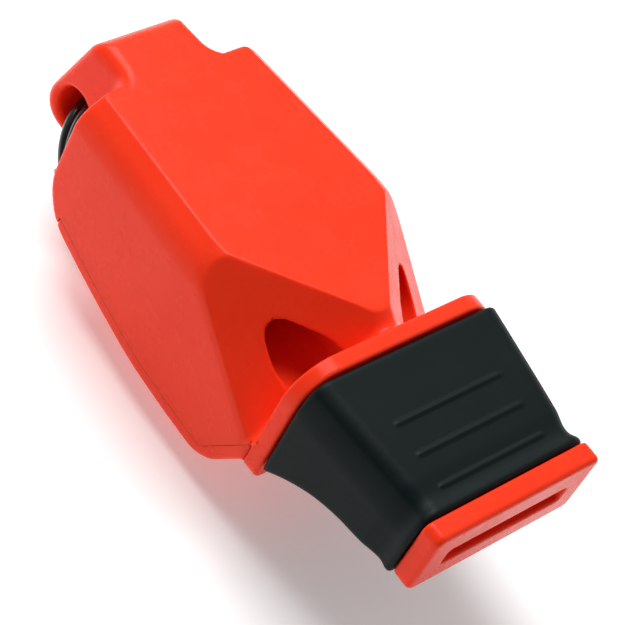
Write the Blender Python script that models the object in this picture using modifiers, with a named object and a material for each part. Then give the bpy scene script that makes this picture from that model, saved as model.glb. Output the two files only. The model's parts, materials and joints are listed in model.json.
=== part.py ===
"""Pealess training whistle: hard body, belly cover, airway insert, soft mouth grip, split ring.

Every piece is drawn in one local frame whose origin is the middle of the blowing slot on the
front face: +X towards the mouth, +Z up through the flat top. The empty "slot_centre" stands at
that point, so the whole whistle is placed by one location.
"""
import math

import bmesh
import bpy
from mathutils import Matrix, Vector

MM = 0.001
GAP = 0.3                    # clearance between neighbouring mouldings

# Placement of the slot centre, so that the whistle's box is centred over the origin
SLOT_X = 28.2
SLOT_Z = 15.4

# Body hull
TOP_Z = 5.2                  # flat top face, at the nose
TOP_PITCH = 0.0427           # how fast it falls towards the rear
HALF_WIDTH = 11.25           # flanks
REAR_X = -48.4               # rear face
BELLY_Z = -12.7              # flat of the belly
NOSE_X = -19.3               # tip of the top face's pentagon
FACET_TURN = 52.7            # front facets: plan angle of the normal from +X
FACET_TILT = 39.2            # front facets: elevation of the normal
SHOULDER_X = -31.0           # where the top edge meets the facets
TOP_HALF_FRONT = 9.06
TOP_HALF_REAR = 8.0
SHOULDER_DROP = 1.8          # height of the sloping band between top face and flank
EDGE_ROUND = 0.7
SHARPEST_SOFT_EDGE = 24       # degrees between faces; flatter edges are left alone

# Belly cover
COVER_THICK = 1.3
COVER_REAR_X = -45.6
COVER_FRONT_RISE = 0.35      # the cover's ends follow the belly's slope a little further
COVER_REAR_RISE = 0.12

# Flange, core and rim of the mouthpiece
FLANGE_REAR_X = -17.75
FLANGE_FRONT_X = -16.2
FLANGE_HALF = 11.0
FLANGE_TOP_Z = 4.75
FLANGE_LOW_Z = -8.4
FLANGE_CORNER = 2.8
FLANGE_LOW_CORNER = 1.2
RIM_REAR_X = -2.0
RIM_HALF = 9.6
RIM_TOP_Z = 3.8
RIM_LOW_Z = -3.2
RIM_CORNER = 1.1
SLEEVE_WALL = 1.2
GRIP_LOW_CORNER = 1.0
SLOT_HALF = 6.9
SLOT_HALF_HEIGHT = 0.95

# Side ducts: one rounded channel each side, open where a front facet cuts it
DUCT_INNER_Y = 2.3
DUCT_OUTER_Y = 8.2
DUCT_HALF_HEIGHT = 2.45
DUCT_ROUND = 1.4
LEFT_DUCT_END_X = -44.0
RIGHT_DUCT_END_X = -40.0

# Belly chamber
BELLY_CHAMBER = ((-44.0, -19.8), 8.4, (-16.0, -3.9))   # x range, half width, z range
WINDOW_X = -19.9
WINDOW_Z = -10.4
WINDOW_TILT = -53            # degrees, square to the cover's front slope
WINDOW_LENGTH = 3.2
WINDOW_DEPTH = 5.0
WINDOW_HALF = 4.0

# Airway pocket and the insert in it
POCKET_HALF = 5.5

# Lug and its eye
LUG_HALF = 4.7
EYE_X = -53.1
EYE_Z = -4.7
EYE_RADIUS = 2.15
LUG_RADIUS = 3.3

# Split ring
RING_RADIUS = 7.0            # centre line of the wire
RING_WIRE = 1.1
RING_PITCH = 1.25
RING_SEAT = 0.9              # the wire's near side sits this far behind the eye's axis
RING_TILT = 48.0             # below the horizontal, forwards under the body

ORANGE = (1.0, 0.075, 0.025, 1.0)
BLACK_RUBBER = (0.008, 0.012, 0.012, 1.0)
BLACK_METAL = (0.004, 0.005, 0.005, 1.0)


def clear_scene():
    for obj in list(bpy.data.objects):
        bpy.data.objects.remove(obj, do_unlink=True)


def new_collection(name):
    collection = bpy.data.collections.new(name)
    bpy.context.scene.collection.children.link(collection)
    return collection


def material(name, colour, roughness, metallic=0.0):
    mat = bpy.data.materials.new(name)
    mat.use_nodes = True
    shader = mat.node_tree.nodes["Principled BSDF"]
    shader.inputs["Base Color"].default_value = colour
    shader.inputs["Roughness"].default_value = roughness
    shader.inputs["Metallic"].default_value = metallic
    return mat


def add_object(name, mesh, collection, parent, mat=None):
    obj = bpy.data.objects.new(name, mesh)
    collection.objects.link(obj)
    obj.parent = parent
    if mat:
        mesh.materials.append(mat)
    return obj


def add_cutter(name, mesh, parent):
    obj = add_object(name, mesh, bpy.data.collections["cutters"], parent)
    obj.hide_render = True
    obj.display_type = "WIRE"
    return obj


def boolean(target, other, operation):
    modifier = target.modifiers.new(other.name, "BOOLEAN")
    modifier.operation = operation
    modifier.object = other
    modifier.solver = "EXACT"


def arc_through(first, middle, last, steps):
    """Points from first to last on the circle through all three, without the last one."""
    ax, az = first
    bx, bz = middle
    cx, cz = last
    d = 2 * (ax * (bz - cz) + bx * (cz - az) + cx * (az - bz))
    sq = [x * x + z * z for x, z in (first, middle, last)]
    ux = (sq[0] * (bz - cz) + sq[1] * (cz - az) + sq[2] * (az - bz)) / d
    uz = (sq[0] * (cx - bx) + sq[1] * (ax - cx) + sq[2] * (bx - ax)) / d
    radius = math.hypot(ax - ux, az - uz)
    start = math.atan2(az - uz, ax - ux)
    mid = (math.atan2(bz - uz, bx - ux) - start) % math.tau
    end = (math.atan2(cz - uz, cx - ux) - start) % math.tau
    if mid > end:
        end -= math.tau
    return [(ux + radius * math.cos(start + end * i / steps),
             uz + radius * math.sin(start + end * i / steps)) for i in range(steps)]


def top_z(x):
    """Height of the flat top face."""
    return TOP_Z + TOP_PITCH * (x - NOSE_X)


def belly_outline():
    """The hull's lower outline in side view, from the flange back to the rear face."""
    points = [(FLANGE_REAR_X + 0.6, -7.9)]
    points += arc_through((-17.9, -8.2), (-18.5, -8.7), (-19.0, -9.35), 2)
    points += [(-19.0, -9.35)]
    points += arc_through((-20.6, -11.5), (-21.3, -12.4), (-22.6, BELLY_Z), 4)
    points += [(-22.6, BELLY_Z)]
    points += arc_through((-27.0, BELLY_Z), (-36.0, -11.6), (-45.0, -9.85), 6)
    points += arc_through((-45.0, -9.85), (-47.6, -8.2), (REAR_X, -5.6), 5)
    points += [(REAR_X, -5.6)]
    return points


def outline_prism(name, outline, half_width):
    """A side-view outline in X and Z, extruded to both sides in Y, as a clean mesh."""
    curve = bpy.data.curves.new(name, "CURVE")
    curve.dimensions = "2D"
    curve.fill_mode = "BOTH"
    curve.extrude = half_width * MM
    spline = curve.splines.new("POLY")
    spline.points.add(len(outline) - 1)
    for point, (x, z) in zip(spline.points, outline):
        point.co = (x * MM, z * MM, 0.0, 1.0)
    spline.use_cyclic_u = True
    guide = bpy.data.objects.new(name + "_outline", curve)
    bpy.context.scene.collection.objects.link(guide)
    bpy.context.view_layer.update()
    evaluated = guide.evaluated_get(bpy.context.evaluated_depsgraph_get())
    mesh = bpy.data.meshes.new_from_object(evaluated)
    bpy.data.objects.remove(guide, do_unlink=True)
    mesh.transform(Matrix.Rotation(math.radians(90), 4, "X"))
    bm = bmesh.new()
    bm.from_mesh(mesh)
    bmesh.ops.remove_doubles(bm, verts=bm.verts, dist=1e-6)
    bmesh.ops.dissolve_limit(bm, angle_limit=0.001, verts=bm.verts, edges=bm.edges)
    bmesh.ops.recalc_face_normals(bm, faces=bm.faces)
    bm.to_mesh(mesh)
    bm.free()
    return mesh


def box_mesh(name, xs, ys, zs):
    bm = bmesh.new()
    size = [(hi - lo) * MM for lo, hi in (xs, ys, zs)]
    centre = [(hi + lo) * MM / 2 for lo, hi in (xs, ys, zs)]
    bmesh.ops.create_cube(bm, size=1.0)
    bmesh.ops.scale(bm, vec=size, verts=bm.verts)
    bmesh.ops.translate(bm, vec=centre, verts=bm.verts)
    mesh = bpy.data.meshes.new(name)
    bm.to_mesh(mesh)
    bm.free()
    return mesh


def cut_away(bm, point, normal):
    """Cut off what lies past a plane and close the cut with one flat face."""
    geometry = bm.verts[:] + bm.edges[:] + bm.faces[:]
    cut = bmesh.ops.bisect_plane(bm, geom=geometry, plane_co=Vector(point) * MM,
                                 plane_no=Vector(normal), clear_outer=True)
    edges = [e for e in cut["geom_cut"] if isinstance(e, bmesh.types.BMEdge)]
    bmesh.ops.contextual_create(bm, geom=edges)


def hull_mesh():
    """The body's outer form: a side-view prism cut by the band, taper and facet planes."""
    front_x = FLANGE_REAR_X + 0.6
    outline = [(front_x, top_z(front_x)), (REAR_X, top_z(REAR_X))]
    outline += list(reversed(belly_outline()))
    mesh = outline_prism("hull", outline, HALF_WIDTH)
    bm = bmesh.new()
    bm.from_mesh(mesh)
    turn = math.radians(FACET_TURN)
    tilt = math.radians(FACET_TILT)
    facet = (math.cos(tilt) * math.cos(turn), math.cos(tilt) * math.sin(turn), math.sin(tilt))
    taper = (TOP_HALF_FRONT - TOP_HALF_REAR) / (SHOULDER_X - REAR_X)
    band_width = HALF_WIDTH - TOP_HALF_FRONT
    for side in (-1, 1):
        flank = Vector((-taper, side, 0))
        along = Vector((1, side * taper, TOP_PITCH))
        down = Vector((0, side * band_width, -SHOULDER_DROP))
        band = along.cross(down) * side
        cut_away(bm, (SHOULDER_X, side * HALF_WIDTH, 0), flank)
        cut_away(bm, (SHOULDER_X, side * TOP_HALF_FRONT, top_z(SHOULDER_X)), band)
        cut_away(bm, (NOSE_X, 0, TOP_Z), (facet[0], side * facet[1], facet[2]))
    bmesh.ops.recalc_face_normals(bm, faces=bm.faces)
    bm.to_mesh(mesh)
    bm.free()
    return mesh


def rounded_section(x, half_width, low, high, radius, low_radius=None, corner_steps=3):
    """A rounded rectangle across the X axis, as points in order round it."""
    low_radius = low_radius or radius
    points = []
    corners = ((1, high, -radius, 0), (-1, high, -radius, 90), (-1, low, low_radius, 180),
               (1, low, low_radius, 270))
    for side, edge_z, offset, start in corners:
        radius = abs(offset)
        y = side * (half_width - radius)
        z = edge_z + offset
        for i in range(corner_steps + 1):
            angle = math.radians(start + 90 * i / corner_steps)
            points.append(Vector((x, y + radius * math.cos(angle),
                                  z + radius * math.sin(angle))) * MM)
    return points


def loft(name, sections):
    """A closed body through sections that all have the same number of points."""
    bm = bmesh.new()
    rings = [[bm.verts.new(p) for p in section] for section in sections]
    count = len(rings[0])
    for ring, following in zip(rings, rings[1:]):
        for i in range(count):
            j = (i + 1) % count
            bm.faces.new((ring[i], ring[j], following[j], following[i]))
    bm.faces.new(rings[0])
    bm.faces.new(rings[-1])
    bmesh.ops.recalc_face_normals(bm, faces=bm.faces)
    mesh = bpy.data.meshes.new(name)
    bm.to_mesh(mesh)
    bm.free()
    return mesh


def grip_sections(inset, start_x, end_x):
    """Sections of the mouth grip's outer surface, moved inwards by inset."""
    stations = ((0.0, 11.05, -7.0, 4.65, 2.0), (0.12, 10.8, -5.9, 4.5, 2.0),
                (0.27, 10.5, -4.85, 4.35, 1.9), (0.45, 10.25, -4.2, 4.22, 1.8),
                (0.7, 9.95, -4.0, 4.1, 1.7), (1.0, 9.7, -3.6, 4.0, 1.6))
    length = end_x - start_x
    sections = []
    for part, half_width, low, high, radius in stations:
        sections.append(rounded_section(start_x + part * length, half_width - inset,
                                        low + inset, high - inset, max(radius - inset, 0.5),
                                        max(GRIP_LOW_CORNER - inset, 0.5)))
    return sections


def flange_mesh():
    sections = []
    for x, inset in ((FLANGE_REAR_X, 0.35), (FLANGE_REAR_X + 0.35, 0.0),
                     (FLANGE_FRONT_X - 0.25, 0.0), (FLANGE_FRONT_X, 0.25)):
        sections.append(rounded_section(x, FLANGE_HALF - inset, FLANGE_LOW_Z + inset,
                                        FLANGE_TOP_Z - inset, FLANGE_CORNER, FLANGE_LOW_CORNER))
    return loft("flange", sections)


def rim_mesh():
    sections = []
    for x, inset in ((RIM_REAR_X, 0.25), (RIM_REAR_X + 0.25, 0.0), (-0.45, 0.0), (-0.13, 0.13),
                     (0.0, 0.45)):
        sections.append(rounded_section(x, RIM_HALF - inset, RIM_LOW_Z + inset,
                                        RIM_TOP_Z - inset, RIM_CORNER - inset / 2))
    return loft("rim", sections)


def lug_mesh():
    """The tab behind the body: level with the top face, round about the eye below."""
    root_x = REAR_X + 2.4
    outline = [(x, top_z(x) - drop) for x, drop in ((root_x, 0.05), (-52.6, 0.05), (-53.7, 0.45))]
    outline.append((-54.4, 2.4))
    for step in range(8):
        angle = math.radians(165 + 105 * step / 7)
        outline.append((EYE_X + LUG_RADIUS * math.cos(angle),
                        EYE_Z + LUG_RADIUS * math.sin(angle)))
    outline.append((root_x, EYE_Z - LUG_RADIUS))
    return outline_prism("lug", outline, LUG_HALF)


def cylinder_mesh(name, radius, half_length, x, z, segments):
    bm = bmesh.new()
    turn = Matrix.Translation(Vector((x, 0, z)) * MM) @ Matrix.Rotation(math.radians(90), 4, "X")
    bmesh.ops.create_cone(bm, cap_ends=True, segments=segments, radius1=radius * MM,
                          radius2=radius * MM, depth=2 * half_length * MM, matrix=turn)
    mesh = bpy.data.meshes.new(name)
    bm.to_mesh(mesh)
    bm.free()
    return mesh


def duct_mesh(side, end_x):
    """One side's windway and chamber: a rounded channel along X."""
    half = (DUCT_OUTER_Y - DUCT_INNER_Y) / 2
    middle = side * (DUCT_OUTER_Y + DUCT_INNER_Y) / 2
    sections = [rounded_section(x, half, -DUCT_HALF_HEIGHT, DUCT_HALF_HEIGHT, DUCT_ROUND)
                for x in (end_x, FLANGE_REAR_X - 0.05)]
    mesh = loft("duct", sections)
    mesh.transform(Matrix.Translation((0, middle * MM, 0)))
    return mesh


def cover_band(clearance):
    """Side-view outline of the layer along the belly, open past the hull's underside."""
    front_x = FLANGE_REAR_X - GAP
    lower = [p for p in belly_outline() if COVER_REAR_X < p[0] < front_x]
    front = (front_x, lower[0][1] + COVER_FRONT_RISE)
    rear = (COVER_REAR_X, lower[-1][1] + COVER_REAR_RISE)
    lower = [front] + lower + [rear]
    depth = COVER_THICK + clearance
    inner = []
    for i, (x, z) in enumerate(lower):
        before = lower[max(i - 1, 0)]
        after = lower[min(i + 1, len(lower) - 1)]
        run = Vector((after[0] - before[0], after[1] - before[1])).normalized()
        inner.append((x + run[1] * depth, z - run[0] * depth))
    front = (front_x + clearance, inner[0][1] + clearance)
    rear = (COVER_REAR_X - clearance, inner[-1][1] + clearance)
    inner[0] = front
    inner[-1] = rear
    below = BELLY_Z - 3.0
    return [(rear[0], below), (front[0], below)] + inner


def window_mesh():
    """The belly chamber's window, square to the cover's front slope."""
    mesh = box_mesh("window", (-WINDOW_LENGTH / 2, WINDOW_LENGTH / 2),
                    (-WINDOW_HALF, WINDOW_HALF), (-WINDOW_DEPTH / 2, WINDOW_DEPTH / 2))
    place = Matrix.Translation(Vector((WINDOW_X, 0, WINDOW_Z)) * MM)
    mesh.transform(place @ Matrix.Rotation(math.radians(WINDOW_TILT), 4, "Y"))
    return mesh


def pocket_outline():
    return [(-9.6, -0.6), (-17.3, -0.6), (-17.3, -4.2), (-21.0, -4.2), (-21.0, -10.6),
            (-19.6, -9.0), (-18.4, -7.4), (-16.4, -5.3), (-13.0, -3.4), (-9.6, -1.8)]


def insert_outline():
    return [(-11.2, -1.0), (-17.0, -1.0), (-17.0, -4.6), (-19.3, -4.6), (-19.3, -6.6),
            (-18.6, -6.3), (-16.6, -4.2), (-14.0, -2.6), (-11.2, -1.4)]


def add_hull(name, root, parts, mat):
    """The outer form with softened edges, which both outer mouldings are cut from."""
    obj = add_object(name, hull_mesh(), parts, root, mat)
    bevel = obj.modifiers.new("soft_edges", "BEVEL")
    bevel.width = EDGE_ROUND * MM
    bevel.segments = 2
    bevel.limit_method = "ANGLE"
    bevel.angle_limit = math.radians(SHARPEST_SOFT_EDGE)
    return obj


def make_body_shell(root, parts, mat):
    body = add_hull("body_shell", root, parts, mat)
    core = loft("core", grip_sections(SLEEVE_WALL + GAP, FLANGE_REAR_X + 0.5, RIM_REAR_X + 0.5))
    for name, mesh in (("lug", lug_mesh()), ("flange", flange_mesh()), ("core", core),
                       ("rim", rim_mesh())):
        boolean(body, add_cutter("add_" + name, mesh, root), "UNION")
    xs, half, zs = BELLY_CHAMBER
    seat = cover_band(GAP)
    cutters = (
        ("eye", cylinder_mesh("eye", EYE_RADIUS, LUG_HALF + 2, EYE_X, EYE_Z, 20)),
        ("slot", box_mesh("slot", (FLANGE_REAR_X - 0.3, 2), (-SLOT_HALF, SLOT_HALF),
                          (-SLOT_HALF_HEIGHT, SLOT_HALF_HEIGHT))),
        ("left_duct", duct_mesh(1, LEFT_DUCT_END_X)),
        ("right_duct", duct_mesh(-1, RIGHT_DUCT_END_X)),
        ("belly_chamber", box_mesh("belly_chamber", xs, (-half, half), zs)),
        ("cover_seat", outline_prism("cover_seat", seat, HALF_WIDTH + 2)),
        ("pocket", outline_prism("pocket", pocket_outline(), POCKET_HALF)),
    )
    for name, mesh in cutters:
        boolean(body, add_cutter("cut_" + name, mesh, root), "DIFFERENCE")
    return body


def make_bottom_cover(root, parts, mat):
    cover = add_hull("bottom_cover", root, parts, mat)
    layer = outline_prism("keep", cover_band(0.0), HALF_WIDTH + 2)
    keep = add_cutter("keep_cover", layer, root)
    boolean(cover, keep, "INTERSECT")
    boolean(cover, add_cutter("cut_window", window_mesh(), root), "DIFFERENCE")
    return cover


def make_airway_insert(root, parts, mat):
    mesh = outline_prism("airway_insert", insert_outline(), POCKET_HALF - GAP)
    return add_object("airway_insert", mesh, parts, root, mat)


def make_mouth_grip(root, parts, mat):
    outer = loft("mouth_grip", grip_sections(0.0, FLANGE_FRONT_X + GAP, RIM_REAR_X - GAP))
    grip = add_object("mouth_grip", outer, parts, root, mat)
    inner = loft("grip_bore", grip_sections(SLEEVE_WALL, FLANGE_REAR_X, RIM_REAR_X + 1.0))
    boolean(grip, add_cutter("cut_grip_bore", inner, root), "DIFFERENCE")
    return grip


def make_split_ring(root, parts, mat):
    """Two flat turns of wire with one cross-over; the object's origin is the eye's axis."""
    pivot = bpy.data.objects.new("eye_axis", None)
    parts.objects.link(pivot)
    pivot.parent = root
    pivot.location = Vector((EYE_X, 0, EYE_Z)) * MM
    pivot.rotation_euler = (0, math.radians(RING_TILT), 0)
    curve = bpy.data.curves.new("split_ring", "CURVE")
    curve.dimensions = "3D"
    curve.bevel_depth = RING_WIRE / 2 * MM
    curve.bevel_resolution = 2
    curve.use_fill_caps = True
    spline = curve.splines.new("POLY")
    steps = 72
    total = 2 * math.tau - math.radians(10)
    crossing = math.radians(50)
    spline.points.add(steps)
    for i, point in enumerate(spline.points):
        angle = total * i / steps
        part = min(max((angle - math.tau + crossing) / (2 * crossing), 0), 1)
        lift = (part * part * (3 - 2 * part) - 0.5) * RING_PITCH
        turned = angle - math.radians(100)
        point.co = ((RING_RADIUS * (1 + math.cos(turned)) - RING_SEAT) * MM,
                    RING_RADIUS * math.sin(turned) * MM, lift * MM, 1.0)
    ring = bpy.data.objects.new("split_ring", curve)
    parts.objects.link(ring)
    ring.parent = pivot
    curve.materials.append(mat)
    return ring


def build():
    clear_scene()
    parts = new_collection("training_whistle")
    new_collection("cutters")
    root = bpy.data.objects.new("slot_centre", None)
    parts.objects.link(root)
    root.location = Vector((SLOT_X, 0, SLOT_Z)) * MM
    make_body_shell(root, parts, material("body_plastic", ORANGE, 0.32))
    make_bottom_cover(root, parts, material("cover_plastic", ORANGE, 0.32))
    make_airway_insert(root, parts, material("insert_plastic", ORANGE, 0.4))
    make_mouth_grip(root, parts, material("grip_rubber", BLACK_RUBBER, 0.5))
    make_split_ring(root, parts, material("ring_metal", BLACK_METAL, 0.18, 0.2))


build()
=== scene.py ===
"""Looks of the training whistle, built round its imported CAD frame.

The body, the belly cover and the grip are written as signed fields in millimetres (negative
inside, close to distances), in the part's own frame: origin at the middle of the blowing slot on
the front face, +X towards the mouth, +Z up through the flat top. Surface nets turn the fields
into smooth meshes. The ring is a swept wire, and the airway insert keeps its CAD mesh.
"""
import json
import math

import bpy
import numpy as np
from mathutils import Matrix, Vector


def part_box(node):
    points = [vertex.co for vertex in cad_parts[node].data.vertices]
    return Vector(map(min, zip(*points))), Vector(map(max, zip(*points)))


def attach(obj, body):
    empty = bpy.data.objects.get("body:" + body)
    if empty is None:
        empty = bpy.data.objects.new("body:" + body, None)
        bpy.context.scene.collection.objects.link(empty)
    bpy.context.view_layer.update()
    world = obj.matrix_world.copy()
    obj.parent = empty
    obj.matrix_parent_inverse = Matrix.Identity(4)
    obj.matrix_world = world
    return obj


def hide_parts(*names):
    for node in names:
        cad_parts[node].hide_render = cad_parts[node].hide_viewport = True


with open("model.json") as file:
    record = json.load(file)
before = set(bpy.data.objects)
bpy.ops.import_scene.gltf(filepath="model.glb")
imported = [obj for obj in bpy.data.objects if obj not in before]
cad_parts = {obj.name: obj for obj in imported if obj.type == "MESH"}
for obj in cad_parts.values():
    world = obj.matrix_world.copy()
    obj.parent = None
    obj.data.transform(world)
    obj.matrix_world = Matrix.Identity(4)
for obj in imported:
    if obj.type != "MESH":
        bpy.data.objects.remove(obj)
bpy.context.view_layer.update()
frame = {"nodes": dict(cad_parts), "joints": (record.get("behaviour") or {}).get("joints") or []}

MM = 0.001

# Meshing
STEP = 0.01                  # step of the numerical gradient
CREASE_REACH = 0.6           # how far a point may move to settle on a crease
MOVE_LIMITS = (0.04, 0.3)    # bounds on how far one pull may move a point
FIRST_PULLS = 4
EVENING_ROUNDS = 3
ROUND_PULLS = 2
CREASE_PULLS = 4
SLOPE_FLOOR = 0.05           # a pull never divides by a smaller squared slope
AWAY = 9.0                   # value of a surface where it doesn't exist

# Hull
TOP_Z = 5.22                 # flat top face, at the nose
TOP_PITCH = 0.0427           # how fast it falls towards the rear
HALF_WIDTH = 11.25
REAR_X = -48.4
NOSE_X = -19.3
SHOULDER_X = -31.0
TOP_HALF_FRONT = 9.06
FLANK_TAPER = 0.061          # how fast the flanks close in behind the shoulders
TAPER_START = 1.0            # the taper sets in this far behind the shoulders
TAPER_BEND = 1.5             # how tightly the flank turns there
SHOULDER_DROP = 1.75         # height of the sloping band under the top edge
FACET_TURN = math.radians(52.7)
FACET_TILT = math.radians(39.2)
FACET_Z = 5.75               # height of the facet planes over the nose tip
BELLY_REAR = (-45.0, -9.85)
BELLY_MIDDLE = (-34.0, -11.9)
BELLY_FRONT = (-22.6, -12.7)
THROAT_POINT = (-19.5, -10.05)
THROAT_NORMAL = (0.817, -0.577)

# Roundings of the hull's edges
TOP_EDGE_X = (-53.0, -44.0, -33.0, -30.0)   # the top edge is softer at the lug and the nose
TOP_EDGE = (1.5, 0.45, 0.45, 1.7)
BAND_EDGE = 1.2
SIDE_EDGE = 0.5
RIDGE_EDGE = 1.6
HEEL_ROUND = 4.0
THROAT_ROUND = 1.7
BELLY_EDGE = 0.4

# Belly cover
COVER_THICK = 1.3
COVER_REAR_X = -45.6
COVER_FRONT_INSET = 0.12
SEAM = 0.045

# Flange, core and rim
OVERLAP = 0.5                # joined shapes end this far inside a face of the next one
FLANGE_REAR_X = -17.75
FLANGE_FRONT_X = -16.2
FLANGE_HALF = 11.15
FLANGE_Z = (-8.6, 5.15)
FLANGE_CORNER = 4.0
FLANGE_LOW_CORNER = 1.2
FLANGE_EDGE = 0.25
FLANGE_FILLET = 1.1
THROAT_FILLET = 0.8
RIM_REAR_X = -2.0
RIM_HALF = 9.6
RIM_Z = (-3.5, 3.9)
RIM_CORNER = 0.9
RIM_NOSE = 0.45
RIM_REAR_EDGE = 0.25
SLOT_HALF = 6.9
SLOT_HALF_HEIGHT = 0.95
SLOT_CORNER = 0.35
SLOT_EDGE = 0.25
SLOT_LAP = 0.3               # how far the slot runs behind the flange's rear face

# Ducts
DUCT_Y = (2.6, 8.1)
DUCT_HALF_HEIGHT = 2.4
DUCT_ROUND = 2.1
DUCT_EDGE = 0.2
DUCT_END_X = {1: -44.0, -1: -40.0}
DUCT_LAP = 0.05              # how far the ducts run into the flange

# Insert's pocket, in side view, and belly chamber as x range, half width and z range
POCKET = [(-9.6, -0.6), (-17.3, -0.6), (-17.3, -4.2), (-21.0, -4.2), (-21.0, -10.6),
          (-19.6, -9.0), (-18.4, -7.4), (-16.4, -5.3), (-13.0, -3.4), (-9.6, -1.8)]
POCKET_HALF = 5.5
CHAMBER = ((-44.0, -19.8), 8.4, (-16.0, -3.9))
WINDOW_AT = (-19.9, -10.4)
WINDOW_HALF = (1.6, 4.0)
WINDOW_CORNER = 0.5
WINDOW_EDGE = 0.1
WINDOW_REAR_X = -23.5        # the window is cut only in front of this

# Lug and eye
LUG_HALF = 4.95
EYE_X = -53.1
EYE_Z = -4.7
EYE_RADIUS = 2.15
EYE_EDGE = 0.6
LUG_RADIUS = 3.3
LUG_EDGE = 0.9
LUG_REAR_NORMAL = (-0.954, 0.299)
LUG_ROOT = 3.0               # how far the lug runs into the body
NECK_FILLET = 2.0

# Mouth grip: position along it, half width, underside, top
GRIP_WALL = 1.2
GRIP_REAR_X = -15.98
GRIP_FRONT_X = -2.1
GRIP_STATIONS = (
    (-16.0, 11.15, -7.0, 5.05),
    (-13.8, 10.95, -5.6, 4.85),
    (-11.2, 10.65, -4.5, 4.65),
    (-8.6, 10.35, -4.0, 4.45),
    (-5.7, 10.0, -3.95, 4.2),
    (-3.2, 9.7, -3.75, 3.98),
    (-2.6, 9.95, -3.6, 4.12),
    (-2.0, 9.95, -3.5, 4.12),
)
GRIP_BEVEL = (1.1, 1.9)      # width and height of the soft bevels along its top
GRIP_EDGE = 0.9
GRIP_LOW_CORNER = 0.8
GRIP_FRONT_EDGE = 0.3
GRIP_REAR_EDGE = 0.35
GRIP_SLACK = 0.02            # between the grip and the core
RIB_X = (-10.25, -7.2, -4.15)
RIB_HALF = 5.85
RIB_RADIUS = 0.28
RIB_PROUD = 0.13
RIB_FILLET = 0.12

# Split ring
RING_RADIUS = 7.0
RING_WIRE = 1.1
RING_PITCH = 1.25
RING_SEAT = 0.9
RING_TILT = 48.0
RING_CUT = 10.0              # degrees between the wire's two ends, seen along the ring's axis
RING_CROSSING = 50.0         # degrees that half of the cross-over takes
RING_START = 100.0           # degrees from the first end to the point farthest from the eye
RING_STEPS = 288
WIRE_SIDES = 20
WIRE_END = (0.75, 0.12)      # a softened end's width as a part of the wire's, and its length

# Camera and floor
VIEW_TARGET = (-25.06, 0.0, -2.18)      # what the camera looks at, in millimetres
VIEW_ANGLES = (27.9, 46.85, 30.24)      # azimuth, elevation and roll, in degrees
VIEW_DISTANCE = 0.22025                 # metres
FLOOR_GAP = 0.0002                      # metres between the floor and the lowest point
LENS = 149.76

eye_axis = frame["joints"][0]["pos_m"]
ORIGIN = Vector(eye_axis) - Vector((EYE_X, 0.0, EYE_Z)) * MM


# ---------------------------------------------------------------- distance fields

def smooth_max(a, b, radius):
    """Overlap of two fields, with their common outer edge rounded."""
    edge = np.hypot(np.maximum(a + radius, 0), np.maximum(b + radius, 0))
    return np.minimum(np.maximum(a, b), -radius) + edge


def smooth_min(a, b, radius):
    """Union of two fields, with a fillet where they meet."""
    corner = np.hypot(np.maximum(radius - a, 0), np.maximum(radius - b, 0))
    return np.maximum(np.minimum(a, b), radius) - corner


def rounded_rectangle(u, v, half_u, half_v, radius, low_radius=None):
    """A rectangle with rounded corners; the two lower ones may have their own radius."""
    if low_radius is not None:
        radius = np.where(v > 0, radius, low_radius)
    du = np.abs(u) - half_u + radius
    dv = np.abs(v) - half_v + radius
    outside = np.hypot(np.maximum(du, 0), np.maximum(dv, 0))
    return outside + np.minimum(np.maximum(du, dv), 0) - radius


def circle_through(first, middle, last):
    """Centre and radius of the circle through three points."""
    rows = [[2 * (q[0] - first[0]), 2 * (q[1] - first[1])] for q in (middle, last)]
    right = [q[0] ** 2 + q[1] ** 2 - first[0] ** 2 - first[1] ** 2 for q in (middle, last)]
    cx, cz = np.linalg.solve(rows, right)
    return cx, cz, math.hypot(cx - first[0], cz - first[1])


def curve_through(x, stations, column):
    """A smooth value along x through one column of a table of stations."""
    xs = np.array([row[0] for row in stations])
    ys = np.array([row[column] for row in stations])
    slopes = np.gradient(ys, xs)
    x = np.clip(x, xs[0], xs[-1])
    i = np.clip(np.searchsorted(xs, x) - 1, 0, len(xs) - 2)
    h = xs[i + 1] - xs[i]
    t = (x - xs[i]) / h
    rise = ys[i + 1] - ys[i]
    curve = (slopes[i] + slopes[i + 1]) * h - 2 * rise
    bend = 3 * rise - (2 * slopes[i] + slopes[i + 1]) * h
    return ys[i] + t * (slopes[i] * h + t * (bend + t * curve))


def belly_field(x, z):
    """The belly's long curve and the throat that rises from it to the flange."""
    cx, cz, radius = circle_through(BELLY_REAR, BELLY_MIDDLE, BELLY_FRONT)
    curve = np.hypot(x - cx, z - cz) - radius
    throat = (x - THROAT_POINT[0]) * THROAT_NORMAL[0] + (z - THROAT_POINT[1]) * THROAT_NORMAL[1]
    return smooth_max(curve, throat, THROAT_ROUND)


def flank_field(x, y):
    """The flanks, parallel at the front and closing in behind the shoulders."""
    behind = SHOULDER_X - TAPER_START - x
    closing = FLANK_TAPER * np.logaddexp(0, behind * TAPER_BEND) / TAPER_BEND
    return np.abs(y) + closing - HALF_WIDTH


def top_field(x, z):
    return (z - TOP_Z - TOP_PITCH * (x - NOSE_X)) * math.cos(TOP_PITCH)


def side_field(x, y, z):
    """Flanks, the sloping bands above them, rear face and belly, open at top and front."""
    flank = flank_field(x, y)
    width = HALF_WIDTH - TOP_HALF_FRONT
    slope = math.hypot(width, SHOULDER_DROP)
    band = ((flank + width) * SHOULDER_DROP + top_field(x, z) * width) / slope
    rear = smooth_max(REAR_X - x, belly_field(x, z), HEEL_ROUND)
    return smooth_max(smooth_max(flank, band, BAND_EDGE), rear, BELLY_EDGE)


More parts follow.
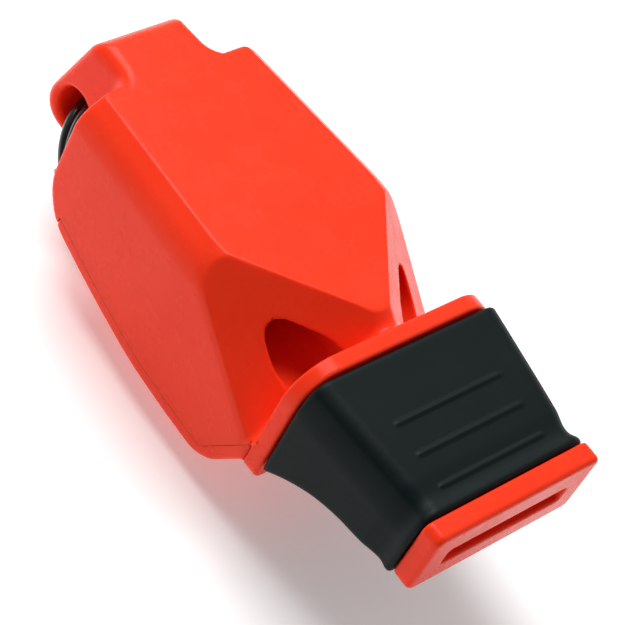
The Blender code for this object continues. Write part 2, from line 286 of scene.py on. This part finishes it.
def facet_field(x, y, z):
    """The two front facets and the ridge between them."""
    across = math.cos(FACET_TILT) * math.sin(FACET_TURN)
    forward = (x - NOSE_X) * math.cos(FACET_TILT) * math.cos(FACET_TURN)
    rise = forward + (z - FACET_Z) * math.sin(FACET_TILT)
    return smooth_max(rise + across * y, rise - across * y, RIDGE_EDGE)


def flange_outline(y, z):
    low, high = FLANGE_Z
    return rounded_rectangle(y, z - (low + high) / 2, FLANGE_HALF, (high - low) / 2,
                             FLANGE_CORNER, FLANGE_LOW_CORNER)


def flange_field(x, y, z):
    thick = (FLANGE_FRONT_X - FLANGE_REAR_X) / 2
    slab = np.abs(x - FLANGE_FRONT_X + thick) - thick
    return smooth_max(flange_outline(y, z), slab, FLANGE_EDGE)


def lug_field(x, y, z):
    """The tab behind the body: flat rear face, round about the eye, open at the top."""
    rear = (x - EYE_X) * LUG_REAR_NORMAL[0] + (z - EYE_Z) * LUG_REAR_NORMAL[1] - LUG_RADIUS
    under = EYE_Z - LUG_RADIUS - z
    profile = np.maximum(smooth_max(rear, under, LUG_RADIUS), x - REAR_X - LUG_ROOT)
    return smooth_max(profile, np.abs(y) - LUG_HALF, LUG_EDGE)


def eye_field(x, z):
    return np.hypot(x - EYE_X, z - EYE_Z) - EYE_RADIUS


def duct_field(x, y, z):
    """Both windways, open where a front facet cuts them."""
    middle = (DUCT_Y[0] + DUCT_Y[1]) / 2
    half = (DUCT_Y[1] - DUCT_Y[0]) / 2
    section = rounded_rectangle(np.abs(y) - middle, z, half, DUCT_HALF_HEIGHT, DUCT_ROUND)
    rear = np.where(y > 0, DUCT_END_X[1], DUCT_END_X[-1]) - x
    return np.maximum(section, np.maximum(rear, x - FLANGE_REAR_X - DUCT_LAP))


def grip_field(x, y, z):
    """The mouth grip's outer surface, with bevels along the upper edges."""
    side = np.abs(y) - curve_through(x, GRIP_STATIONS, 1)
    under = curve_through(x, GRIP_STATIONS, 2) - z
    top = z - curve_through(x, GRIP_STATIONS, 3)
    width, height = GRIP_BEVEL
    bevel = (side * height + top * width + width * height) / math.hypot(width, height)
    section = smooth_max(smooth_max(side, bevel, GRIP_EDGE), top, GRIP_EDGE)
    return smooth_max(section, under, GRIP_LOW_CORNER)


def rim_field(x, y, z):
    low, high = RIM_Z
    outline = rounded_rectangle(y, z - (low + high) / 2, RIM_HALF, (high - low) / 2, RIM_CORNER)
    return smooth_max(smooth_max(outline, x, RIM_NOSE), RIM_REAR_X - x, RIM_REAR_EDGE)


def slot_field(x, y, z):
    section = rounded_rectangle(y, z, SLOT_HALF, SLOT_HALF_HEIGHT, SLOT_CORNER)
    return np.maximum(section, FLANGE_REAR_X - SLOT_LAP - x)


def outer_field(x, y, z):
    """Everything moulded in the body's plastic, still without openings."""
    sides = side_field(x, y, z)
    facets = facet_field(x, y, z)
    solid = smooth_max(sides, facets, SIDE_EDGE)
    solid = smooth_min(solid, lug_field(x, y, z), NECK_FILLET)
    solid = smooth_max(solid, top_field(x, z), np.interp(x, TOP_EDGE_X, TOP_EDGE))
    web = np.maximum(smooth_min(facets, FLANGE_REAR_X - x, FLANGE_FILLET),
                     np.maximum(flange_outline(y, z), np.maximum(sides, x - FLANGE_FRONT_X + OVERLAP)))
    throat = smooth_min(sides, FLANGE_REAR_X - x, THROAT_FILLET)
    web = np.minimum(web, np.maximum(np.maximum(throat, flange_outline(y, z)),
                                     np.maximum(facets, x - FLANGE_FRONT_X + OVERLAP)))
    web = np.maximum(web, top_field(x, z))
    solid = np.minimum(np.minimum(solid, web), flange_field(x, y, z))
    core = np.maximum(grip_field(x, y, z) + GRIP_WALL,
                      np.maximum(FLANGE_REAR_X + OVERLAP - x, x - RIM_REAR_X - OVERLAP))
    return np.minimum(np.minimum(solid, core), rim_field(x, y, z))


def cover_region(x, z):
    """Negative where the belly cover lies: a layer of even thickness along the belly."""
    layer = -(belly_field(x, z) + COVER_THICK)
    return np.maximum(np.maximum(layer, COVER_REAR_X - x), x - FLANGE_REAR_X + COVER_FRONT_INSET)


def outline_field(x, z, points):
    """Distance to a closed side-view outline, negative inside."""
    nearest = np.full(np.shape(x), np.inf)
    inside = np.zeros(np.shape(x), bool)
    for (ax, az), (bx, bz) in zip(points, points[1:] + points[:1]):
        t = ((x - ax) * (bx - ax) + (z - az) * (bz - az)) / ((bx - ax) ** 2 + (bz - az) ** 2)
        t = np.clip(t, 0, 1)
        nearest = np.minimum(nearest, np.hypot(x - ax - t * (bx - ax), z - az - t * (bz - az)))
        spans = (az > z) != (bz > z)
        if az != bz:
            inside ^= spans & (x < (bx - ax) * (z - az) / (bz - az) + ax)
    return np.where(inside, -nearest, nearest)


def hollow_field(x, y, z):
    """The insert's pocket and the belly chamber behind it."""
    pocket = np.maximum(outline_field(x, z, POCKET), np.abs(y) - POCKET_HALF)
    (rear, front), half, (low, high) = CHAMBER
    chamber = np.maximum(np.maximum(rear - x, x - front), np.maximum(low - z, z - high))
    return np.minimum(pocket, np.maximum(chamber, np.abs(y) - half))


def body_field(x, y, z):
    solid = outer_field(x, y, z)
    solid = np.maximum(solid, -hollow_field(x, y, z))
    solid = smooth_max(solid, -eye_field(x, z), EYE_EDGE)
    solid = smooth_max(solid, -duct_field(x, y, z), DUCT_EDGE)
    solid = smooth_max(solid, -slot_field(x, y, z), SLOT_EDGE)
    return np.maximum(solid, -(cover_region(x, z) - SEAM))


def cover_field(x, y, z):
    along = (x - WINDOW_AT[0]) * -THROAT_NORMAL[1] + (z - WINDOW_AT[1]) * THROAT_NORMAL[0]
    window = rounded_rectangle(along, y, WINDOW_HALF[0], WINDOW_HALF[1], WINDOW_CORNER)
    window = np.maximum(window, WINDOW_REAR_X - x)
    cover = np.maximum(outer_field(x, y, z), cover_region(x, z))
    return smooth_max(cover, -window, WINDOW_EDGE)


def sleeve_field(x, y, z):
    """The soft grip: a tapering tube with three raised ribs across its top."""
    grip = grip_field(x, y, z)
    outer = smooth_max(grip, x - GRIP_FRONT_X, GRIP_FRONT_EDGE)
    outer = smooth_max(outer, GRIP_REAR_X - x, GRIP_REAR_EDGE)
    top = curve_through(x, GRIP_STATIONS, 3)
    for rib_x in RIB_X:
        reach = np.maximum(np.abs(y) - RIB_HALF, 0)
        rib = np.sqrt((x - rib_x) ** 2 + (z - top - RIB_PROUD + RIB_RADIUS) ** 2 + reach ** 2)
        outer = smooth_min(outer, rib - RIB_RADIUS, RIB_FILLET)
    return np.maximum(outer, -grip - GRIP_WALL + GRIP_SLACK)


# ---------------------------------------------------------------- meshes from fields

def graded(*spans):
    """Grid lines with a chosen spacing on each span, given as (start, spacing), ..., (end,)."""
    lines = [np.array([spans[0][0]])]
    for (start, spacing), following in zip(spans, spans[1:]):
        count = max(1, round((following[0] - start) / spacing))
        lines.append(np.linspace(start, following[0], count + 1)[1:])
    return np.concatenate(lines)


def values(field, points):
    return field(points[:, 0], points[:, 1], points[:, 2])


def gradient(field, points):
    columns = []
    for axis in range(3):
        step = np.zeros(3)
        step[axis] = STEP
        columns.append((values(field, points + step) - values(field, points - step)) / (2 * STEP))
    return np.stack(columns, 1)


def pull(field, points, limit):
    """One Newton step of each point towards the field's surface."""
    slope = gradient(field, points)
    move = -slope * (values(field, points) / np.maximum((slope ** 2).sum(1), SLOPE_FLOOR))[:, None]
    length = np.linalg.norm(move, axis=1, keepdims=True)
    return points + move * np.minimum(1, limit / np.maximum(length, 1e-9))


def crossings(sample, grids):
    """For each grid cell, the sum and the number of the surface's crossings of its edges."""
    total = np.zeros(tuple(n - 1 for n in sample.shape) + (3,))
    count = np.zeros(total.shape[:3])
    inside = sample < 0
    for axis in range(3):
        lower = [slice(None)] * 3
        upper = [slice(None)] * 3
        lower[axis] = slice(None, -1)
        upper[axis] = slice(1, None)
        lower, upper = tuple(lower), tuple(upper)
        hits = np.argwhere(inside[lower] != inside[upper])
        ahead = hits.copy()
        ahead[:, axis] += 1
        a = sample[tuple(hits.T)]
        b = sample[tuple(ahead.T)]
        place = np.stack([grids[k][hits[:, k]] for k in range(3)], 1)
        place[:, axis] += a / (a - b) * (grids[axis][ahead[:, axis]] - grids[axis][hits[:, axis]])
        others = [k for k in range(3) if k != axis]
        for i in (0, 1):
            for j in (0, 1):
                cell = hits.copy()
                cell[:, others[0]] -= i
                cell[:, others[1]] -= j
                np.add.at(total, tuple(cell.T), place)
                np.add.at(count, tuple(cell.T), 1)
    return total, count


def crossed_cells(sample):
    """Which grid cells have corners on both sides of a field."""
    inside = sample < 0
    corners = [inside[i:len(inside) - 1 + i, j:inside.shape[1] - 1 + j, k:inside.shape[2] - 1 + k]
               for i in (0, 1) for j in (0, 1) for k in (0, 1)]
    return np.any(corners, 0) & ~np.all(corners, 0)


def surface_net(field, grids, creases=()):
    """Points, quads and crease flags of the field's surface on a grid."""
    x, y, z = np.meshgrid(*grids, indexing="ij")
    sample = field(x, y, z)
    total, count = crossings(sample, grids)
    number = np.full(count.shape, -1)
    used = np.argwhere(count > 0)
    number[tuple(used.T)] = np.arange(len(used))
    points = total[tuple(used.T)] / count[tuple(used.T)][:, None]
    inside = sample < 0
    quads = []
    for axis in range(3):
        others = [k for k in range(3) if k != axis]
        lower = [slice(1, -1)] * 3
        upper = [slice(1, -1)] * 3
        lower[axis] = slice(None, -1)
        upper[axis] = slice(1, None)
        first, second = inside[tuple(lower)], inside[tuple(upper)]
        for flip in (False, True):
            hits = np.argwhere(first & ~second if not flip else ~first & second)
            hits[:, others[0]] += 1
            hits[:, others[1]] += 1
            ring = []
            for i, j in ((1, 1), (0, 1), (0, 0), (1, 0)):
                cell = hits.copy()
                cell[:, others[0]] -= i
                cell[:, others[1]] -= j
                ring.append(number[tuple(cell.T)])
            quad = np.stack(ring, 1)
            if flip != (axis == 1):
                quad = quad[:, ::-1]
            quads.append(quad)
    quads = np.concatenate(quads)
    settled = []
    for pair in creases:
        both = np.all([crossed_cells(f(x, y, z))[tuple(used.T)] for f in pair], 0)
        settled.append((pair, both))
    return relax(field, points, quads, settled)


def relax(field, points, quads, creases):
    """Put the points on the surface, even out their spacing and settle the creases."""
    edges = np.concatenate([quads[:, [i, (i + 1) % 4]] for i in range(4)])
    reach = np.full(len(points), np.inf)
    length = np.linalg.norm(points[edges[:, 0]] - points[edges[:, 1]], axis=1)
    np.minimum.at(reach, edges[:, 0], length)
    reach = np.clip(reach, *MOVE_LIMITS)[:, None]
    for _ in range(FIRST_PULLS):
        points = pull(field, points, reach)
    degree = np.bincount(edges[:, 0], minlength=len(points))[:, None]
    for _ in range(EVENING_ROUNDS):
        mean = np.zeros_like(points)
        np.add.at(mean, edges[:, 0], points[edges[:, 1]])
        shift = (mean / np.maximum(degree, 1) - points) * 0.5
        normal = gradient(field, points)
        normal /= np.maximum(np.linalg.norm(normal, axis=1, keepdims=True), 1e-6)
        points = points + shift - normal * (shift * normal).sum(1)[:, None]
        for _ in range(ROUND_PULLS):
            points = pull(field, points, reach)
    flags = np.zeros(len(points), bool)
    for pair, both in creases:
        gap = np.max([np.abs(values(f, points)) for f in pair], axis=0)
        near = both & (gap < CREASE_REACH)
        place = points[near]
        for _ in range(CREASE_PULLS):
            for f in pair:
                place = pull(f, place, CREASE_REACH)
        points[near] = place
        flags |= near
    return points, quads, flags


def add_mesh(name, points, faces, mat, body, node, sharp=None):
    """A smooth-shaded piece from points in the part's own millimetres."""
    mesh = bpy.data.meshes.new(name)
    placed = np.asarray(points) * MM + np.array(ORIGIN)
    mesh.from_pydata(placed.tolist(), [], [list(map(int, f)) for f in faces])
    mesh.polygons.foreach_set("use_smooth", [True] * len(mesh.polygons))
    if sharp is not None and sharp.any():
        ends = np.empty(len(mesh.edges) * 2, int)
        mesh.edges.foreach_get("vertices", ends)
        both = sharp[ends.reshape(-1, 2)].all(1)
        mark = mesh.attributes.new("sharp_edge", "BOOLEAN", "EDGE")
        mark.data.foreach_set("value", both)
    mesh.validate()
    mesh.update()
    mesh.materials.append(mat)
    obj = bpy.data.objects.new(name, mesh)
    bpy.context.scene.collection.objects.link(obj)
    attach(obj, body)
    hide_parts(node)


# ---------------------------------------------------------------- materials

def new_material(name):
    mat = bpy.data.materials.new(name)
    mat.use_nodes = True
    return mat, mat.node_tree, mat.node_tree.nodes["Principled BSDF"]


def add_node(tree, kind, **settings):
    node = tree.nodes.new(kind)
    for key, value in settings.items():
        if key in node.inputs:
            node.inputs[key].default_value = value
        else:
            setattr(node, key, value)
    return node


def ramp(tree, source, stops):
    """A colour ramp fed by source, with stops of (position, colour)."""
    node = tree.nodes.new("ShaderNodeValToRGB")
    elements = node.color_ramp.elements
    while len(elements) < len(stops):
        elements.new(0.5)
    for element, (position, colour) in zip(elements, stops):
        element.position = position
        element.color = colour
    tree.links.new(source, node.inputs["Fac"])
    return node.outputs["Color"]


def noise(tree, coordinates, scale, detail=3.0, roughness=0.5):
    node = add_node(tree, "ShaderNodeTexNoise", Scale=scale, Detail=detail, Roughness=roughness)
    tree.links.new(coordinates, node.inputs["Vector"])
    return node.outputs["Fac"]


def bump(tree, height, strength, distance, normal=None):
    node = add_node(tree, "ShaderNodeBump", Strength=strength, Distance=distance)
    tree.links.new(height, node.inputs["Height"])
    if normal is not None:
        tree.links.new(normal, node.inputs["Normal"])
    return node.outputs["Normal"]


def moulded_plastic(name, deep, bright, rough_low, rough_high):
    """Glossy moulded plastic: faint flow marks, a trace of orange peel and fine handling wear."""
    mat, tree, shader = new_material(name)
    place = tree.nodes.new("ShaderNodeTexCoord").outputs["Object"]
    flow = noise(tree, place, 90.0, 4.0, 0.55)
    tree.links.new(ramp(tree, flow, ((0.3, deep), (0.7, bright))), shader.inputs["Base Color"])
    rubbed = noise(tree, place, 420.0, 5.0, 0.6)
    grey_low = (rough_low, rough_low, rough_low, 1)
    grey_high = (rough_high, rough_high, rough_high, 1)
    tree.links.new(ramp(tree, rubbed, ((0.35, grey_low), (0.7, grey_high))),
                   shader.inputs["Roughness"])
    peel = bump(tree, noise(tree, place, 650.0, 2.0), 0.05, 0.00008)
    tree.links.new(bump(tree, noise(tree, place, 5200.0, 3.0, 0.6), 0.05, 0.00001, peel),
                   shader.inputs["Normal"])
    shader.inputs["IOR"].default_value = 1.5
    shader.inputs["Specular IOR Level"].default_value = 0.11
    shader.inputs["Subsurface Weight"].default_value = 0.25
    shader.inputs["Subsurface Radius"].default_value = (1.0, 0.12, 0.04)
    shader.inputs["Subsurface Scale"].default_value = 0.0018
    return mat


def soft_rubber(name):
    """Matt thermoplastic rubber: very dark green-grey with a fine spark-eroded grain."""
    mat, tree, shader = new_material(name)
    place = tree.nodes.new("ShaderNodeTexCoord").outputs["Object"]
    cloud = noise(tree, place, 260.0, 4.0, 0.6)
    dark = (0.0036, 0.0074, 0.0078, 1)
    light = (0.0050, 0.0096, 0.0100, 1)
    tree.links.new(ramp(tree, cloud, ((0.3, dark), (0.7, light))), shader.inputs["Base Color"])
    grain = noise(tree, place, 5200.0, 4.0, 0.65)
    tree.links.new(ramp(tree, grain, ((0.3, (0.42, 0.42, 0.42, 1)), (0.75, (0.56, 0.56, 0.56, 1)))),
                   shader.inputs["Roughness"])
    tree.links.new(bump(tree, grain, 0.16, 0.00003), shader.inputs["Normal"])
    shader.inputs["IOR"].default_value = 1.45
    shader.inputs["Specular IOR Level"].default_value = 0.12
    return mat


def black_metal(name):
    """Glossy black plated spring wire with rubbed spots."""
    mat, tree, shader = new_material(name)
    place = tree.nodes.new("ShaderNodeTexCoord").outputs["Object"]
    spots = noise(tree, place, 900.0, 5.0, 0.6)
    tree.links.new(ramp(tree, spots, ((0.3, (0.004, 0.005, 0.005, 1)), (0.8, (0.012, 0.014, 0.013, 1)))),
                   shader.inputs["Base Color"])
    tree.links.new(ramp(tree, spots, ((0.3, (0.12, 0.12, 0.12, 1)), (0.8, (0.3, 0.3, 0.3, 1)))),
                   shader.inputs["Roughness"])
    tree.links.new(bump(tree, spots, 0.06, 0.00003), shader.inputs["Normal"])
    shader.inputs["Metallic"].default_value = 0.2
    shader.inputs["Coat Weight"].default_value = 0.5
    shader.inputs["Coat Roughness"].default_value = 0.08
    return mat


# ---------------------------------------------------------------- pieces

def seam_creases(gap):
    """The pairs of surfaces that meet along the weld line, at its sides and round its rear end."""
    rear_x = COVER_REAR_X - gap

    def flank(x, y, z):
        return flank_field(x, y)

    def belly(x, y, z):
        return belly_field(x, z)

    def wall(x, y, z):
        beside = (x > rear_x) & (x < FLANGE_REAR_X)
        return np.where(beside, belly_field(x, z) + COVER_THICK + gap, AWAY)

    def rear(x, y, z):
        below = belly_field(x, z) + COVER_THICK + gap > 0
        return np.where(below & (np.abs(y) < HALF_WIDTH), x - rear_x, AWAY)

    return (flank, wall), (flank, rear), (belly, rear)


def build_body(mat):
    grids = (graded((-57.2, 0.24), (-44.9, 0.55), (-33.0, 0.3), (-26.2, 0.15), (-15.6, 0.4),
                    (-3.6, 0.2), (0.4,)),
             graded((-11.7, 0.22), (-9.0, 0.15), (-7.2, 0.2), (-3.2, 0.15), (-1.4, 0.3),
                    (1.4, 0.15), (3.2, 0.2), (7.2, 0.15), (9.0, 0.22), (11.7,)),
             graded((-13.1, 0.24), (-3.4, 0.17), (5.7,)))
    points, faces, sharp = surface_net(body_field, grids, seam_creases(SEAM))
    add_mesh("body_moulding", points, faces, mat, "whistle", "body_shell", sharp)


def build_cover(mat):
    grids = (graded((-46.2, 0.2), (-44.8, 0.4), (-24.0, 0.2), (-17.0,)),
             graded((-11.7, 0.2), (-9.6, 0.6), (9.6, 0.2), (11.7,)),
             graded((-13.1, 0.2), (-4.9,)))
    points, faces, sharp = surface_net(cover_field, grids, seam_creases(0.0))
    add_mesh("belly_cover", points, faces, mat, "whistle", "bottom_cover", sharp)


def build_sleeve(mat):
    ribs = []
    position = -16.4
    for rib_x in RIB_X:
        ribs += [(position, 0.25), (rib_x - 0.5, 0.1)]
        position = rib_x + 0.5
    grids = (graded(*ribs, (position, 0.2), (-1.8,)),
             graded((-11.4, 0.22), (11.4,)),
             graded((-7.7, 0.22), (3.2, 0.13), (5.6,)))
    points, faces, _ = surface_net(sleeve_field, grids)
    add_mesh("mouth_sleeve", points, faces, mat, "whistle", "mouth_grip")


def ring_path():
    """Two turns of wire with one cross-over, in the ring's own plane tilted about the eye."""
    total = 2 * math.tau - math.radians(RING_CUT)
    crossing = math.radians(RING_CROSSING)
    tilt = Matrix.Rotation(math.radians(RING_TILT), 3, "Y")
    for i in range(RING_STEPS + 1):
        angle = total * i / RING_STEPS
        part = min(max((angle - math.tau + crossing) / (2 * crossing), 0), 1)
        lift = (part * part * (3 - 2 * part) - 0.5) * RING_PITCH
        turned = angle - math.radians(RING_START)
        local = Vector((RING_RADIUS * (1 + math.cos(turned)) - RING_SEAT,
                        RING_RADIUS * math.sin(turned), lift))
        yield Vector((EYE_X, 0, EYE_Z)) + tilt @ local


def build_ring(mat):
    """The wire swept along its path, its cut ends softened."""
    path = list(ring_path())
    around = WIRE_SIDES
    across = (Matrix.Rotation(math.radians(RING_TILT), 3, "Y") @ Vector((0, 0, 1))).normalized()
    points = []
    for i, centre in enumerate(path):
        before = path[max(i - 1, 0)]
        after = path[min(i + 1, len(path) - 1)]
        along = (after - before).normalized()
        outward = along.cross(across).normalized()
        upward = outward.cross(along)
        for k in range(around):
            turn = math.tau * k / around
            points.append(centre + (outward * math.cos(turn) + upward * math.sin(turn))
                          * RING_WIRE / 2)
    faces = []
    for i in range(len(path) - 1):
        for k in range(around):
            a = i * around + k
            b = i * around + (k + 1) % around
            faces.append((a, b, b + around, a + around))
    last = len(path) - 1
    for i, neighbour in ((0, 1), (last, last - 1)):
        rim = [i * around + k for k in range(around)]
        centre = path[i]
        along = (centre - path[neighbour]).normalized()
        cap = len(points)
        for v in rim:
            points.append(centre + (points[v] - centre) * WIRE_END[0] + along * WIRE_END[1])
        for k in range(around):
            faces.append((rim[k], rim[(k + 1) % around], cap + (k + 1) % around, cap + k))
        lid = [cap + k for k in range(around)]
        faces.append(lid if i == last else lid[::-1])
    add_mesh("split_ring_wire", [tuple(p) for p in points], faces, mat, "ring",
             "split_ring")


# ---------------------------------------------------------------- stage

def add_camera():
    """The main view: a long lens from the front right, high up and rolled."""
    target = ORIGIN + Vector(VIEW_TARGET) * MM
    azimuth, elevation, roll = (math.radians(angle) for angle in VIEW_ANGLES)
    back = Vector((math.sin(azimuth) * math.cos(elevation),
                   -math.cos(azimuth) * math.cos(elevation), math.sin(elevation)))
    data = bpy.data.cameras.new("camera")
    data.lens = LENS
    data.sensor_width = 36.0
    data.clip_start = 0.01
    data.clip_end = 5.0
    camera = bpy.data.objects.new("camera", data)
    bpy.context.scene.collection.objects.link(camera)
    camera.location = target + back * VIEW_DISTANCE
    look = (-back).to_track_quat("-Z", "Y").to_matrix()
    camera.rotation_euler = (look @ Matrix.Rotation(roll, 3, "Z")).to_euler()
    bpy.context.scene.camera = camera


def add_light(name, location, target, size, power):
    data = bpy.data.lights.new(name, "AREA")
    data.shape = "RECTANGLE"
    data.size, data.size_y = size
    data.energy = power
    light = bpy.data.objects.new(name, data)
    bpy.context.scene.collection.objects.link(light)
    light.location = location
    light.rotation_euler = (Vector(target) - Vector(location)).to_track_quat("-Z", "Y").to_euler()


def add_stage():
    """A plain pale floor, one soft box high up behind the whistle, and a grey surround."""
    ring_low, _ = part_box("split_ring")
    mesh = bpy.data.meshes.new("floor")
    half = 3.0
    mesh.from_pydata([(-half, -half, 0), (half, -half, 0), (half, half, 0), (-half, half, 0)], [],
                     [(0, 1, 2, 3)])
    floor = bpy.data.objects.new("floor", mesh)
    floor.location.z = min(ring_low[2], 0.0) - FLOOR_GAP
    bpy.context.scene.collection.objects.link(floor)
    mat, tree, shader = new_material("floor_card")
    place = tree.nodes.new("ShaderNodeTexCoord").outputs["Object"]
    tone = noise(tree, place, 6.0, 2.0)
    tree.links.new(ramp(tree, tone, ((0.0, (0.93, 0.93, 0.93, 1)), (1.0, (0.96, 0.96, 0.96, 1)))),
                   shader.inputs["Base Color"])
    shader.inputs["Roughness"].default_value = 0.85
    shader.inputs["Specular IOR Level"].default_value = 0.1
    shader.inputs["Emission Color"].default_value = (1, 1, 1, 1)
    shader.inputs["Emission Strength"].default_value = 0.26
    mesh.materials.append(mat)
    add_surround()
    add_light("key", (-0.36, 0.1, 0.62), (0, 0, 0), (0.5, 0.5), 6.2)


def add_surround():
    """A grey surround, lighter all round and dark at the front right, where the camera stands."""
    world = bpy.data.worlds.new("surround")
    world.use_nodes = True
    tree = world.node_tree
    direction = tree.nodes.new("ShaderNodeTexCoord").outputs["Generated"]
    facing = add_node(tree, "ShaderNodeVectorMath", operation="DOT_PRODUCT")
    facing.inputs[1].default_value = (0.42, -0.6, 0.68)
    tree.links.new(direction, facing.inputs[0])
    light, dark = (0.5, 0.5, 0.5, 1), (0.12, 0.12, 0.12, 1)
    shade = ramp(tree, facing.outputs["Value"], ((0.25, light), (0.75, dark)))
    background = tree.nodes["Background"]
    tree.links.new(shade, background.inputs["Color"])
    background.inputs["Strength"].default_value = 1.0
    bpy.context.scene.world = world


bpy.context.scene.view_settings.view_transform = "Standard"
add_camera()
orange_deep = (0.90, 0.039, 0.010, 1)
orange_bright = (0.95, 0.047, 0.014, 1)
build_body(moulded_plastic("orange_body", orange_deep, orange_bright, 0.22, 0.32))
build_cover(moulded_plastic("orange_cover", orange_deep, orange_bright, 0.2, 0.3))
build_sleeve(soft_rubber("black_rubber"))
build_ring(black_metal("black_wire"))
insert = frame["nodes"]["airway_insert"]
insert.material_slots[0].material = moulded_plastic("orange_insert", orange_deep, orange_bright,
                                                    0.3, 0.42)
add_stage()
